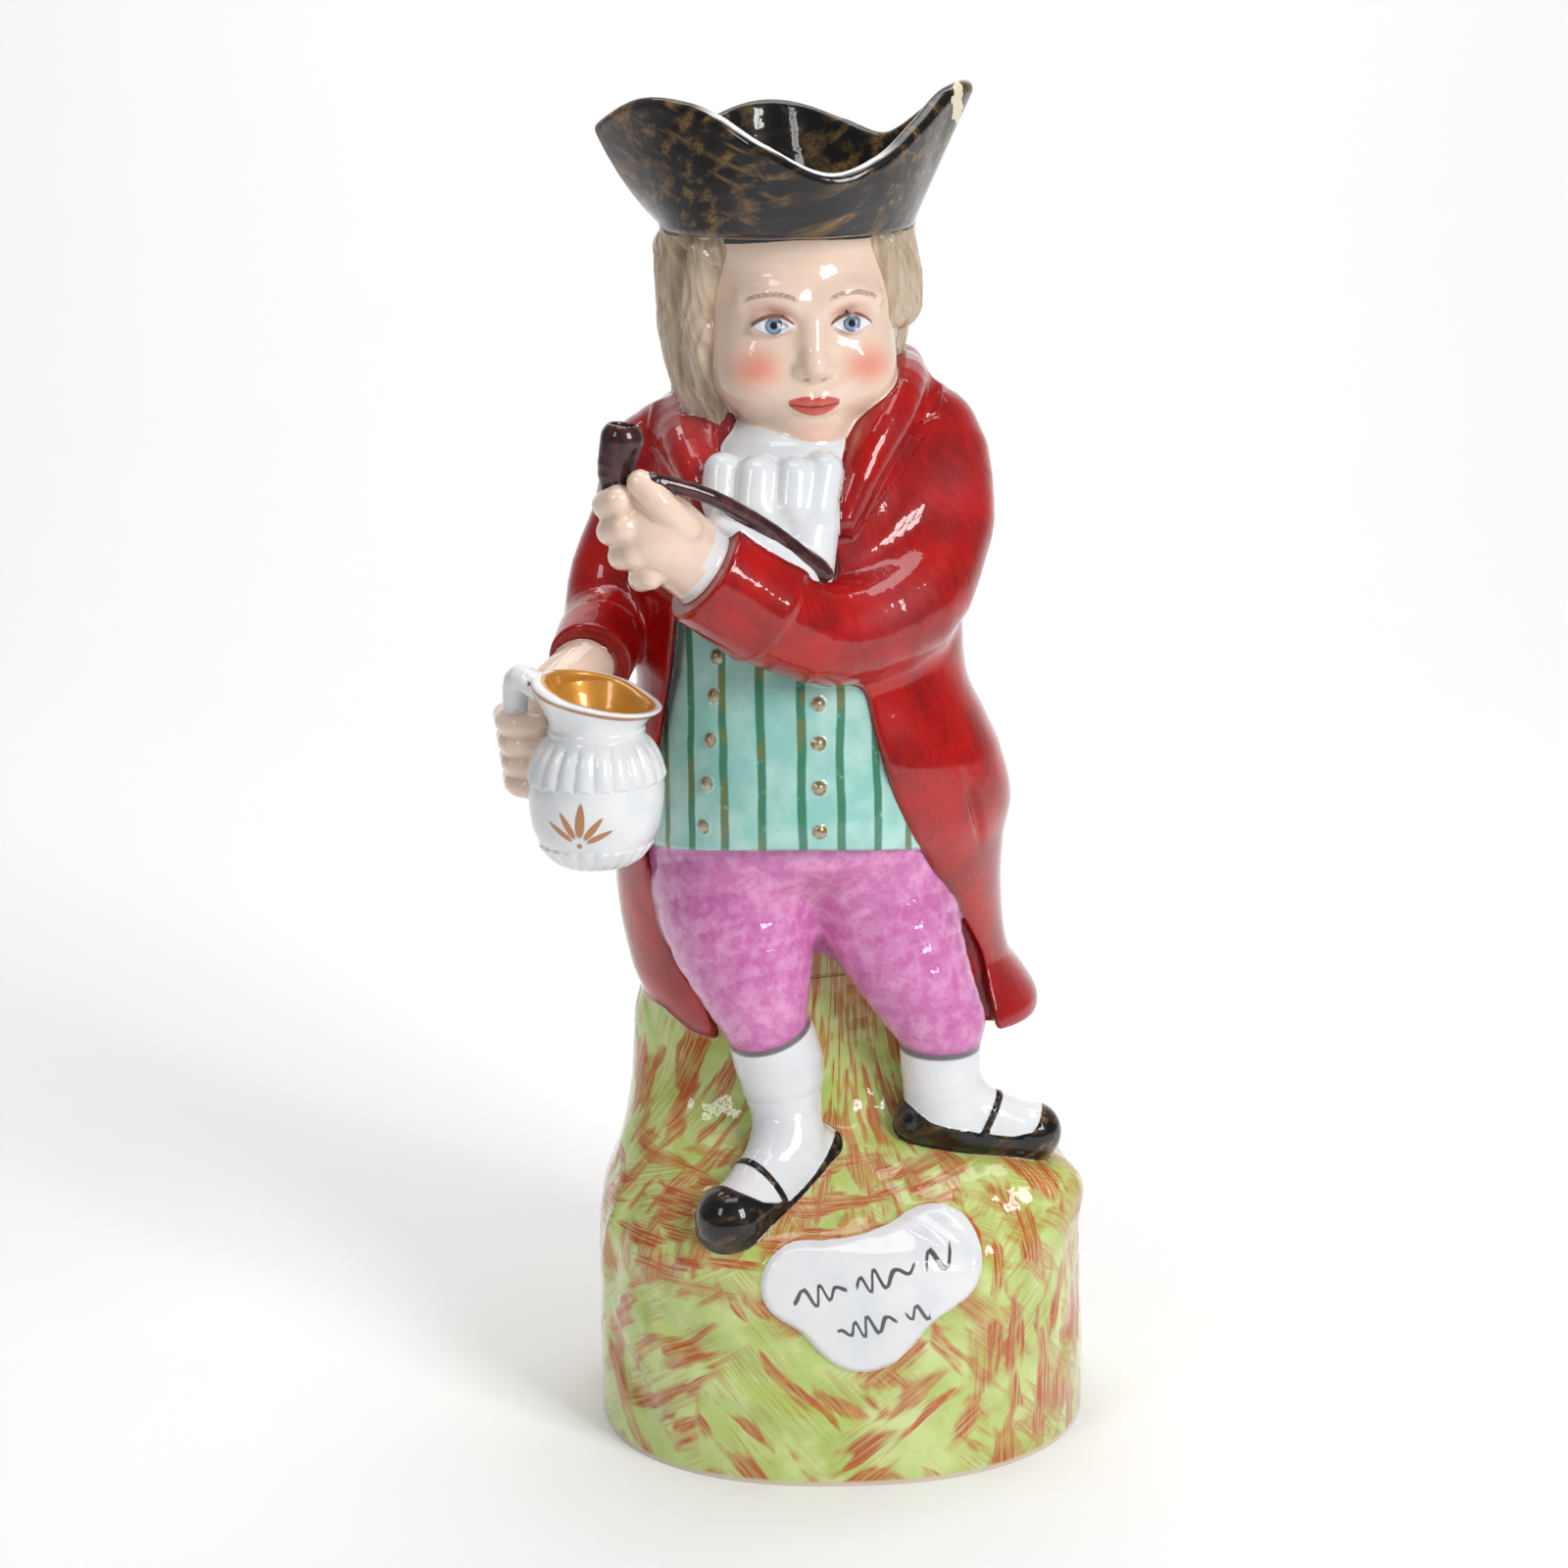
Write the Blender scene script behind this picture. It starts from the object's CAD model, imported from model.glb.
"""Toby jug: glazed and painted surface, finely modelled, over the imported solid.

Lengths are millimetres until the meshes are made.
"""

import math

import bpy
import numpy as np
from mathutils import Matrix, Vector


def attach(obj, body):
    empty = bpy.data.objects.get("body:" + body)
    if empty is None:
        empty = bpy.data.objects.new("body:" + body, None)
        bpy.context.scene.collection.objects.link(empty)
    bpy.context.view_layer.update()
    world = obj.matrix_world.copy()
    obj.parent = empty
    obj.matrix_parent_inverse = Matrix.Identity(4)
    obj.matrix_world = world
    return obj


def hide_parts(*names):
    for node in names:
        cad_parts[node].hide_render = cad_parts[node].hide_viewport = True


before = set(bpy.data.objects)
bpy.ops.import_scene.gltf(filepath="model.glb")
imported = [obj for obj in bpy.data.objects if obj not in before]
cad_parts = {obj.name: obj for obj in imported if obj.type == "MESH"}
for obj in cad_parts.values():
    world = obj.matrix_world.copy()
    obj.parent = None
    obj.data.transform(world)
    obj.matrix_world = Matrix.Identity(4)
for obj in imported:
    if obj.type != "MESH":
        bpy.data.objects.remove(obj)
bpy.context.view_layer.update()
MM = 0.001

# The pose and proportions of the solid, on a figure 290 mm tall, as in the part's source
FLOOR = 5
WALL = 4.5
BRIM = 3.8
HANDLE_WIDTH = 12
HANDLE_THICKNESS = 7.5
CUP_WALL = 3
CUP_DEPTH = 17
STEM_DIAMETER = 3.2
PLAQUE_RISE = 1.2
BLEND = 1.1

# A part further off than this is measured to its box, and a distance that stands for nowhere near
REACH = 4
FAR = 1e9

# Relief that only this scene carries
BUTTON_RADIUS = 1.2
FLUTES = 22
FLUTE_DEPTH = 0.6
BAND_RISE = 0.35
STRAND_DEPTH = 0.28
STRAP_RISE = 0.35
STRAP_WIDTH = 1.7
ROCK_GRAIN = 0.3
RIDGE_RISE = 1.1
RIDGE_WIDTH = 4


# Arithmetic of distance fields, on whole arrays of points
def ramp(v, lo, hi):
    t = np.clip((v - lo) / (hi - lo), 0, 1)
    return t * t * (3 - 2 * t)


def join(a, b, k):
    h = np.maximum(k - np.abs(a - b), 0) / k
    return np.minimum(a, b) - h * h * k * 0.25


def cut(a, b, k):
    return -join(-a, b, k)


def both(a, b, k):
    return -join(-a, -b, k)


def rod(p, a, b):
    """Distance to a rod between two balls, each x, y, z and radius."""
    a = np.asarray(a, np.float32)
    b = np.asarray(b, np.float32)
    along = b[:3] - a[:3]
    off = p - a[:3]
    t = np.clip(off @ along / (along @ along), 0, 1)
    off -= t[:, None] * along
    return np.sqrt(np.einsum("ij,ij->i", off, off)) - (a[3] + (b[3] - a[3]) * t)


def outside_box(p, low, high):
    over = np.maximum(np.maximum(low - p, p - high), 0)
    return np.sqrt(np.einsum("ij,ij->i", over, over))


def near_only(field, p, low, high, reach=REACH):
    """A field measured where it is near, and the distance to its box elsewhere."""
    d = outside_box(p, np.asarray(low, np.float32), np.asarray(high, np.float32))
    near = d <= reach
    if near.any():
        d[near] = field(p[near])
    return d


def egg(p, centre, radii):
    radii = np.asarray(radii, np.float32)
    q = (p - np.asarray(centre, np.float32)) / radii
    near = np.sqrt(np.einsum("ij,ij->i", q, q)) + 1e-6
    slope = np.sqrt(np.einsum("ij,ij->i", q / radii, q / radii)) + 1e-6
    return near * (near - 1) / slope


def outline(u, v, corners):
    """Distance to the outline of a flat shape, less than zero inside it."""
    near = np.full(u.shape, FAR, np.float32)
    inside = np.zeros(u.shape, bool)
    for (u0, v0), (u1, v1) in zip([corners[-1]] + corners[:-1], corners):
        t = np.clip(((u - u0) * (u1 - u0) + (v - v0) * (v1 - v0)) / ((u1 - u0) ** 2 + (v1 - v0) ** 2), 0, 1)
        near = np.minimum(near, np.hypot(u - u0 - t * (u1 - u0), v - v0 - t * (v1 - v0)))
        if v1 != v0:
            inside ^= ((v0 > v) != (v1 > v)) & (u < u0 + (v - v0) / (v1 - v0) * (u1 - u0))
    return np.where(inside, -near, near)


def read(rows, at):
    """Smooth curves through rows of numbers, read at values of the first column."""
    rows = np.asarray(rows, float)
    knots = rows[:, 0]
    at = np.clip(at, knots[0], knots[-1])
    i = np.clip(np.searchsorted(knots, at, side="left") - 1, 0, len(rows) - 2)
    before = rows[np.maximum(i - 1, 0)]
    start = rows[i]
    end = rows[i + 1]
    after = rows[np.minimum(i + 2, len(rows) - 1)]
    span = (end[:, :1] - start[:, :1])
    t = (at[:, None] - start[:, :1]) / span
    m0 = (end - before) / (end[:, :1] - before[:, :1]) * span
    m1 = (after - start) / (after[:, :1] - start[:, :1]) * span
    t2 = t * t
    t3 = t2 * t
    return (2 * t3 - 3 * t2 + 1) * start + (t3 - 2 * t2 + t) * m0 + (3 * t2 - 2 * t3) * end + (t3 - t2) * m1


BENDS = 3
bends = {}


def bent(balls):
    """More balls on a smooth curve through the given ones."""
    key = id(balls)
    if key not in bends:
        rows = np.column_stack([np.arange(len(balls)), np.asarray(balls, float)])
        steps = BENDS if len(balls) > 2 else 1
        places = np.arange((len(balls) - 1) * steps + 1) / steps
        bends[key] = (balls, read(rows, places)[:, 1:].astype(np.float32))
    return bends[key][1]


def limb(p, balls):
    """A limb that bends smoothly through a few balls."""
    row = bent(balls)
    low = (row[:, :3] - row[:, 3:]).min(0)
    high = (row[:, :3] + row[:, 3:]).max(0)

    def rods(q):
        return np.minimum.reduce([rod(q, a, b) for a, b in zip(row[:-1], row[1:])])

    return near_only(rods, p, low, high, 8)


def with_limbs(d, p, limbs, k):
    """A field with a few limbs joined to it, each softly."""
    for balls in limbs:
        d = join(d, limb(p, balls), k)
    return d


class Curve:
    """Rows read in advance at close steps, so that many points can be looked up at once."""

    def __init__(self, rows, step=0.25):
        self.low = rows[0][0]
        self.high = rows[-1][0]
        self.at = np.arange(self.low, self.high + step, step)
        self.values = read(rows, self.at)[:, 1:].T

    def __call__(self, z):
        return [np.interp(z, self.at, column).astype(np.float32) for column in self.values]


def stack(p, curve, power=2.2):
    """A body whose level sections are rounded boxes: left, right, front and back at each height."""
    left, right, front, back = curve(p[:, 2])
    rx = (right - left) / 2
    ry = (back - front) / 2
    px = np.abs(p[:, 0] - (left + right) / 2) / rx
    py = np.abs(p[:, 1] - (front + back) / 2) / ry
    q = np.maximum((px ** power + py ** power) ** (1 / power), 1e-4)
    slope = np.hypot((px / q) ** (power - 1) / rx, (py / q) ** (power - 1) / ry)
    return (q - 1) / slope


def level(p, curve, k, d):
    return both(both(d, curve.low - p[:, 2], k), p[:, 2] - curve.high, k)


def grain(p, size, seed=0):
    """Smooth noise from -1 to 1 with features of a given size, the same on every run."""
    q = p / size
    base = np.floor(q).astype(np.int64)
    f = q - base
    f = f * f * (3 - 2 * f)
    total = np.zeros(len(p), np.float32)
    for corner in range(8):
        step = np.array([corner & 1, corner >> 1 & 1, corner >> 2])
        cell = base + step
        h = (cell[:, 0] * 73856093) ^ (cell[:, 1] * 19349663) ^ (cell[:, 2] * 83492791)
        h = h ^ (seed * 2654435761)
        h = (h ^ (h >> 13)) * 1274126177 & 0x7FFFFFFF
        h = (h ^ (h >> 16)) & 0xFFFF
        weight = np.prod(np.where(step, f, 1 - f), axis=1)
        total += weight * (h / 32767.5 - 1)
    return total


# Rock base and the stump behind the legs: height, left, right, front, back
ROCK = [
    [-6, -54, 54, -50, 50],
    [12, -54, 54, -50, 50],
    [30, -53.5, 53.5, -49.5, 49.5],
    [45, -53.2, 53.2, -49, 49],
    [51, -52.3, 51.8, -46, 47.5],
    [57, -49.8, 48, -37, 44],
    [63, -47.6, 41, -27, 40],
    [70, -46.5, 31, -17, 38],
    [80, -45.6, 28.5, -12, 37],
    [90, -44.5, 27.5, -10, 36],
    [112, -38, 25, -8, 33],
]

# Soft folds worn into the rock, as rods
HOLLOWS = [
    [[-29, -15, 92, 4], [-27, -22, 74, 4.5], [-36, -36, 60, 3.5], [-40, -42, 46, 2.2]],
    [[-44, -12, 86, 3], [-47, -22, 66, 4], [-52, -26, 48, 2.4], [-55, -20, 30, 1.6]],
    [[4, -17, 92, 3.4], [5, -23, 74, 3.6], [13, -35, 60, 3], [27, -45, 52, 2.2]],
    [[34, -48, 50, 2.2], [43, -41, 36, 2.6], [51, -28, 22, 2.2]],
    [[-44, -38, 36, 2.6], [-22, -51, 24, 2.2], [8, -54.5, 15, 2], [30, -50, 14, 1.6]],
    [[-52, -22, 22, 2.4], [-44, -36, 12, 2]],
    [[38, 18, 66, 5], [49, 24, 44, 4], [53, 26, 22, 2.4]],
    [[-20, 44, 62, 5], [-16, 52, 40, 4], [-22, 54, 20, 2.4]],
    [[20, 42, 58, 4], [26, 48, 36, 3], [20, 54, 16, 2.4]],
    [[-46, 26, 66, 4], [-53, 22, 44, 3.4], [-54, 30, 22, 2.4]],
]

# White plate on the front of the rock: x, z and radius
PLAQUE = [[-9, 45, 7], [4, 38, 10.5], [20, 48, 8]]

# Legs, the right one first
LEGS = [
    {
        "breeches": [[-20, -3, 136, 21], [-21, -11, 118, 17.5], [-18, -18, 104, 12.5], [-16, -20, 96, 9.6]],
        "stocking": [[-16, -19, 96, 8.6], [-13, -18, 85, 9.6], [-11.5, -19, 74, 7.6], [-11, -22, 67, 7.4]],
        "instep": [[-11, -22, 67, 7], [-20, -34, 59.5, 6]],
        "shoe": [[-5.5, -20, 64.5, 6], [-13, -28, 60.5, 6.6], [-23.5, -38.5, 56.5, 7.6]],
    },
    {
        "breeches": [[6, -3, 134, 20], [11, -9, 116, 15.5], [17, -14, 102, 12], [22, -16, 92.5, 9.8]],
        "stocking": [[22, -15, 92, 8.8], [22, -16, 82, 8.6], [22.5, -17, 73, 7.6]],
        "instep": [[23, -17, 74, 7], [37, -18, 69.5, 5.4]],
        "shoe": [[17, -17.5, 70.5, 5.2], [29, -19, 68.5, 5.4], [41.5, -18, 67.5, 6.4]],
    },
]

# Clothes
WAISTCOAT = [
    [135, -41, 25, -34.5, 28],
    [142, -40, 24, -35, 28],
    [155, -38.5, 22, -33, 27],
    [170, -36, 20.5, -30, 26],
    [185, -35, 20, -27.5, 24],
    [200, -34, 20, -25, 22],
    [212, -28, 13, -22, 18],
]
COAT = [
    [87, -37, 44.5, -17, 32],
    [91, -41, 44.8, -17, 36],
    [96, -44, 42, -17, 38],
    [101, -45.6, 38.6, -17, 38],
    [114, -47.6, 36.8, -20, 37],
    [129, -47.8, 37, -26, 34],
    [139, -46, 38.4, -30, 32],
    [150, -44, 36, -32, 30],
    [157, -43, 33, -32, 29],
    [166, -42, 29, -31, 29],
    [178, -42, 28, -30, 29],
    [192, -43, 28, -28, 28],
    [206, -42, 27, -26, 26],
    [216, -37, 22, -22, 23],
    [226, -29, 15, -16, 18],
]

# Front edges of the open coat: height, left edge, right edge
OPENING = [
    [80, -24, 36],
    [96, -29, 33],
    [104, -34, 31.5],
    [116, -38, 26],
    [136, -40.5, 16.5],
    [150, -38, 11],
    [171, -34, 6],
    [185, -32, 3],
    [205, -25, 0],
    [222, -20, 6],
    [230, -19, 8],
]
SLEEVES = [
    [[-26, 5, 218, 9], [-36, 4, 212, 11], [-40, 3, 200, 10.5], [-45.5, 2, 188, 10],
     [-47.5, -4, 179.5, 9.4], [-49, -17, 176, 8.2]],
    [[10, 5, 223, 9], [20, 4, 215, 12.4], [22.5, -4, 203, 12.2], [21, -9, 196, 12.2],
     [15, -19, 185, 12], [0, -30, 180.5, 10.6], [-13, -36, 186.5, 11.2]],
]
CUFFS = [
    [[-49, -14, 176.5, 9.2], [-50.5, -23, 174, 8.8]],
    [[-14, -36.5, 187.5, 12], [-26, -40.5, 196.5, 11.4]],
]
COLLAR = [
    [[-31, 10, 221, 4.4], [-31.5, -4, 220, 4.6], [-29, -16, 216, 4.6], [-25.5, -24, 208, 3.6],
     [-25, -29, 198, 2.6]],
    [[15.5, 10, 230, 4.4], [16, -3, 229, 4.8], [13, -14, 224, 5], [7.5, -22, 215, 4.4],
     [2.5, -27.5, 204, 3]],
    [[-31, 10, 221, 4.4], [-20, 20, 227, 4.6], [4, 20, 229.5, 4.6], [15.5, 10, 230, 4.4]],
]

# Lapels turned back flat on the coat, as corners in x and z
LAPELS = [
    [[4, 200], [14, 211], [19.5, 218], [15, 219.5], [23, 222], [25, 229], [18, 236], [6, 228], [2, 214]],
    [[-26, 200], [-33, 207], [-37.5, 216], [-33, 217], [-38, 220], [-37, 226],
     [-30, 232], [-24, 222], [-23, 208]],
]

# Face, counted from the middle of the head with its sides mirrored
LIDS = [
    [[4.1, -19.7, 2.9, 0.4], [6.4, -20.6, 4.6, 0.55], [9.6, -20, 4.7, 0.55], [12, -17.7, 2.7, 0.4]],
    [[4.1, -19.7, 2.7, 0.35], [7.8, -20.2, 1.3, 0.4], [12, -17.7, 2.5, 0.35]],
]
BROW = [[3.8, -19.2, 7.8, 1.2], [8.5, -18.5, 9.4, 1.3], [13.4, -15.2, 8, 1]]
LIPS = [
    [[0, -20.4, -12.4, 0.8], [1.8, -20.3, -12, 0.95], [5.6, -18.1, -12.5, 0.4]],
    [[0, -20.4, -14.3, 1.1], [2.4, -19.9, -14.1, 0.95], [5.2, -18.2, -13.1, 0.4]],
]
BRIDGE = [[0, -18.7, 6, 1.5], [0, -21.8, -4.2, 2.2]]
TIP = [[0, -22, -5, 2.4], [0, -20.6, -6, 2.3]]
WING = [[2.6, -20.2, -6, 1.5], [2.9, -19.3, -6.2, 1.4]]

# Hands
PIPE_HAND = [
    [[-27, -40.5, 197.5, 8], [-34, -42.5, 204, 8.4]],
    [[-36, -43.5, 204, 7.6], [-38, -43.5, 208, 6.2]],
]
PIPE_FINGERS = [
    [[-29, -47.5, 206, 3], [-34, -50, 211.5, 2.9], [-38, -48.6, 215.5, 2.7]],
    [[-42.5, -47.5, 212, 2.9], [-45, -44, 210.5, 2.9], [-44, -39, 209, 2.8]],
    [[-41.5, -48, 206.5, 3], [-44.2, -44, 205.2, 3], [-43, -39, 204, 2.8]],
    [[-39.5, -47.5, 201, 3], [-42.2, -43.5, 200, 2.9], [-41, -39, 199, 2.8]],
    [[-36.5, -46.5, 196.4, 2.7], [-38.5, -42.5, 195.2, 2.7], [-37.5, -38.5, 194.6, 2.6]],
]
CUP_HAND = [[-51, -22, 174, 5.6], [-57, -28, 169.5, 6], [-61.5, -32, 163, 6.2]]

# Hair, neckcloth and frill
LOCKS = [
    [[-29.5, -6, 260, 4.8], [-30.5, -6, 248, 5], [-29, -7, 234, 4.6], [-25.5, -9, 222, 3.4]],
    [[-25, -14, 258, 3.4], [-26.5, -13, 244, 3.6], [-25, -12, 230, 3.2], [-22, -12, 221, 2.4]],
    [[13.5, -3, 260, 4.8], [14.6, -3, 251, 5], [14.8, -4, 245, 4.8]],
    [[12, -11, 258, 3], [13.6, -10, 250, 3.2], [13.2, -10, 243.5, 2.8]],
    [[-31, 3, 257, 5], [-30.5, 4, 240, 5], [-28, 6, 228, 5]],
    [[13, 5, 257, 5.4], [13.5, 6, 246, 5.4]],
]
QUEUE = [[-7, 24, 238, 6], [-7, 27, 226, 5], [-7, 28, 214, 4]]
FRILL = [
    [[-22, -26, 214, 4], [-22.5, -28, 209, 4]],
    [[-15, -28.5, 213, 4.6], [-15.5, -30.5, 207, 4.8]],
    [[-7.5, -29, 213, 4.2], [-8, -31, 207, 4.4]],
    [[-1.5, -27, 214, 4], [-3, -30, 207, 4]],
]
JABOT = [
    [[-22, -27, 203, 5], [-24, -27, 192, 5]],
    [[-13, -30, 203, 6], [-16, -31, 190, 6.5]],
    [[-4, -29, 203, 5.6], [-6, -32, 195, 6.4]],
]
BOWL = [[-42.5, -44, 212, 2.6], [-43, -44, 217, 3.6], [-41.5, -44.5, 223.5, 4.4]]
BOWL_HOLE = [[-41.2, -44.5, 225, 2.4], [-40.8, -44.6, 231, 3]]

# Brim's edge: angle from +X, reach from the middle, height, fullness of the side
EDGE_KEYS = [
    [-180, 37.4, 281.5, 0.62],
    [-160, 31.4, 286.2, 0.62],
    [-140, 27.6, 286, 0.62],
    [-120, 27.6, 283.6, 0.62],
    [-98, 29.6, 277.6, 0.62],
    [-75, 31.2, 272, 0.62],
    [-55, 31.2, 274.8, 0.6],
    [-35, 31.6, 281.2, 0.52],
    [-18, 33.4, 286.8, 0.42],
    [-2, 36.6, 288.4, 0.4],
    [14, 33.4, 285, 0.45],
    [40, 28.4, 277.2, 0.6],
    [65, 29.4, 279.6, 0.62],
    [95, 36, 283.4, 0.6],
    [125, 30.2, 280, 0.62],
    [150, 31, 279.4, 0.62],
    [180, 37.4, 281.5, 0.62],
]

# Small jug: height and radius up its outside
CUP_PROFILE = [
    [0, 6.6],
    [2.5, 9.4],
    [7, 12.4],
    [12, 13.6],
    [18, 13.7],
    [23.5, 12.2],
    [27.5, 9.9],
    [30, 9.6],
    [33, 10.8],
    [36.5, 12.8],
]
CUP_HANDLE = [
    [-58.5, -44, 172.5, 2.6],
    [-63.5, -41, 175, 2.8],
    [-65, -38.5, 170, 2.6],
    [-64, -38, 156, 2.4],
    [-60, -41, 151, 2.4],
]

# The outside of the main mass, which the hollow follows inside
CORE = [
    [-6, -54, 54, -50, 50],
    [45, -52.5, 52.5, -48.5, 48.5],
    [52, -49, 47, -42, 45],
    [60, -45, 37, -27, 39],
    [70, -43, 27, -15, 35],
    [90, -40, 26, -9, 33],
    [110, -40, 28, -12, 31],
    [130, -40, 26, -22, 29],
    [150, -37, 21, -29, 27],
    [170, -35, 19.5, -27, 25],
    [190, -34, 19, -24, 23],
    [205, -30, 16, -20, 21],
    [216, -24, 9, -16, 18],
    [226, -23, 9, -17, 18],
    [240, -27, 14, -22, 23],
    [255, -28, 14, -24, 23],
    [264, -30, 15, -25, 23],
]
LAPEL_RISE = 1.3
STEM_LINE = [[-35, -49, 216], [-24, -46, 212], [-12, -41, 204], [-1.5, -37, 194.5]]
STEM = [[x, y, z, STEM_DIAMETER / 2] for x, y, z in STEM_LINE]
FINGERS = [
    [
        [-67.5 + 0.5 * i, -33, 165.5 - 4.3 * i, 2.7],
        [-66 + 0.5 * i, -39.5, 165.2 - 4.3 * i, 2.6],
        [-60.5 + 0.6 * i, -41, 165 - 4.3 * i, 2.4],
    ]
    for i in range(4)
]
FACE = {"x": -6, "y": -4, "z": 240, "turn": 8}
EYE = {"out": 8, "front": -16.3, "up": 3.1}
HAT = {"x": -8, "y": -2, "foot": 262.6, "width": 24.6, "depth": 26}
BRIM_STEPS = 5
BRIM_LINES = 720
CUP = {"foot": [-49.2, -44, 136.5], "lean": [0.03, -0.04], "spout": -25}
CUP_NECK = 28
CUP_TOP = 36.5
CUP_TILT = 3
CUP_POUR = 4.4
HANDLE_PATH = [[19, 247], [34, 252], [46, 246], [53, 230], [52, 208], [45, 186], [36, 170], [26, 160]]
HANDLE_X = -7

# Lines of the low shoes: top line of the leather along the foot from the heel, and the strap across it
SHOE_LINES = [
    {
        "heel": (-5.5, -20),
        "ahead": (-0.698, -0.716),
        "along": [-3, -0.8, 1.8, 6.6, 10.6, 15.5, 22.4, 27, 29],
        "top": [68.5, 68, 66, 62.7, 60.8, 59, 60.9, 64, 70],
        "strap": 18.7,
        "slant": 0.35,
        "high": 66,
        "reach": 11,
        "ceiling": 70,
    },
    {
        "heel": (17, -17.5),
        "ahead": (1, -0.02),
        "along": [-4, -1.1, 2.6, 7.8, 13.7, 20.4, 24.7, 26.5, 28],
        "top": [76, 74.8, 72.3, 70.7, 69.4, 68.6, 69.4, 72, 78],
        "strap": 17,
        "slant": 0.5,
        "high": 75,
        "reach": 10,
        "ceiling": 78.5,
    },
]

# Fold in the coat's skirt, and soft ridges that run down the rock
PLEAT = [[27.5, -23, 149, 0.5], [30, -18, 138, 0.9], [33, -13, 128, 0.6]]
RIDGES = [
    [[-31, -12, 96, 0], [-33, -23, 78, 0], [-42, -36, 60, 0], [-47, -36, 44, 0]],
    [[-38, -2, 92, 0], [-43, -14, 76, 0], [-50, -22, 58, 0], [-53, -18, 36, 0]],
    [[13, -20, 84, 0], [18, -32, 66, 0], [29, -44, 56, 0], [43, -40, 42, 0]],
    [[-4, -20, 84, 0], [-1, -32, 62, 0], [4, -44, 56, 0]],
    [[-40, -34, 30, 0], [-14, -50, 17, 0], [16, -52, 12, 0]],
]

# Shirt that shows between the pipe's stem and the sleeve
SHIRT = [[-22, -41.5, 207, 2.6], [-13, -40, 201, 3], [-5, -36.5, 195.5, 3]]

ROCK_AT = Curve(ROCK)
WAISTCOAT_AT = Curve(WAISTCOAT)
COAT_AT = Curve(COAT)
OPENING_AT = Curve(OPENING)
CORE_AT = Curve(CORE)
CUP_AT = Curve(CUP_PROFILE)


def mirrored(q):
    """Points with their sides folded together, for what is the same on both sides."""
    return np.column_stack([np.abs(q[:, 0]), q[:, 1], q[:, 2]])


def rock(p, fine=True):
    d = level(p, ROCK_AT, 4, stack(p, ROCK_AT, 2.3))
    d = join(d, egg(p, [31, -17, 54], [22, 15, 11]), 7)
    d = join(d, egg(p, [-16, -30, 49], [22, 14, 8]), 6)
    for line in HOLLOWS:
        d = cut(d, limb(p, line), 6)
    if fine:
        for line in RIDGES:
            d = d - RIDGE_RISE * np.exp(-((limb(p, line) / RIDGE_WIDTH) ** 2))
        d = d - (ROCK_GRAIN * grain(p, 7, 3) + 0.15 * grain(p, 2.6, 4)) * ramp(p[:, 2], 6, 20)
    return d


def plaque(p):
    def plate(q):
        flat = np.column_stack([q[:, 0], np.zeros(len(q), np.float32), q[:, 2]])
        balls = [[x, 0, z, r] for x, z, r in PLAQUE]
        patch = join(rod(flat, balls[0], balls[1]), rod(flat, balls[1], balls[2]), 4)
        patch = join(patch, rod(flat, balls[0], balls[2]), 4)
        d = both(rock(q, False) - PLAQUE_RISE, patch, 1)
        return np.where(q[:, 1] > 0, FAR, d)

    return near_only(plate, p, [-17, -56, 24], [29, -30, 58])


def breeches(p):
    d = join(limb(p, LEGS[0]["breeches"]), limb(p, LEGS[1]["breeches"]), 4)
    d = join(d, egg(p, [-7, -8, 134], [27, 23, 12]), 8)
    return both(d, p[:, 2] - 142, 4)


def leather(p):
    """How far inside the blackened leather a point is: below the shoe's top line, or under its strap."""
    most = np.full(len(p), -9, np.float32)
    for shoe in SHOE_LINES:
        from_heel = p[:, :2] - shoe["heel"]
        u = from_heel[:, 0] * shoe["ahead"][0] + from_heel[:, 1] * shoe["ahead"][1]
        top = np.interp(u, shoe["along"], shoe["top"])
        strap = STRAP_WIDTH / 2 - np.abs(u - shoe["strap"] - shoe["slant"] * (p[:, 2] - shoe["high"]))
        strap = np.minimum(strap, p[:, 2] - top + 4)
        side = from_heel[:, 0] * shoe["ahead"][1] - from_heel[:, 1] * shoe["ahead"][0]
        near = np.minimum(shoe["reach"] - np.abs(side), np.minimum(shoe["ceiling"] - p[:, 2], u + 6))
        most = np.maximum(most, np.minimum(np.maximum(top - p[:, 2], strap), near))
    return most


def stockings(p):
    legs = [join(limb(p, leg["stocking"]), limb(p, leg["instep"]), 4) for leg in LEGS]
    return np.minimum(*legs) - STRAP_RISE * ramp(leather(p), -0.2, 0.35)


def shoes(p):
    d = np.minimum(*[limb(p, leg["shoe"]) for leg in LEGS])
    return d - STRAP_RISE * ramp(leather(p), -0.2, 0.35) + STRAP_RISE * 0.5


def waistcoat(p):
    hem = np.column_stack([p[:, 0], p[:, 1], p[:, 2] + 0.004 * (p[:, 0] + 10) ** 2 - 0.8])
    return level(hem, WAISTCOAT_AT, 1.2, stack(p, WAISTCOAT_AT, 2.1))


def button_places():
    """Both rows of buttons, each set on the waistcoat's front."""
    places = []
    rows = ((-27.5, -24, (140, 149, 158, 167, 175)), (-3.5, -3.5, (140, 149, 158, 166)))
    for low_x, high_x, heights in rows:
        for z in heights:
            x = low_x + (high_x - low_x) * (z - 140) / 35
            y = np.arange(-45, 0, 0.1)
            line = np.column_stack([np.full_like(y, x), y, np.full_like(y, z)]).astype(np.float32)
            places.append([x, float(y[np.argmax(waistcoat(line) < 0)]), z])
    return places


BUTTONS = button_places()


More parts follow.
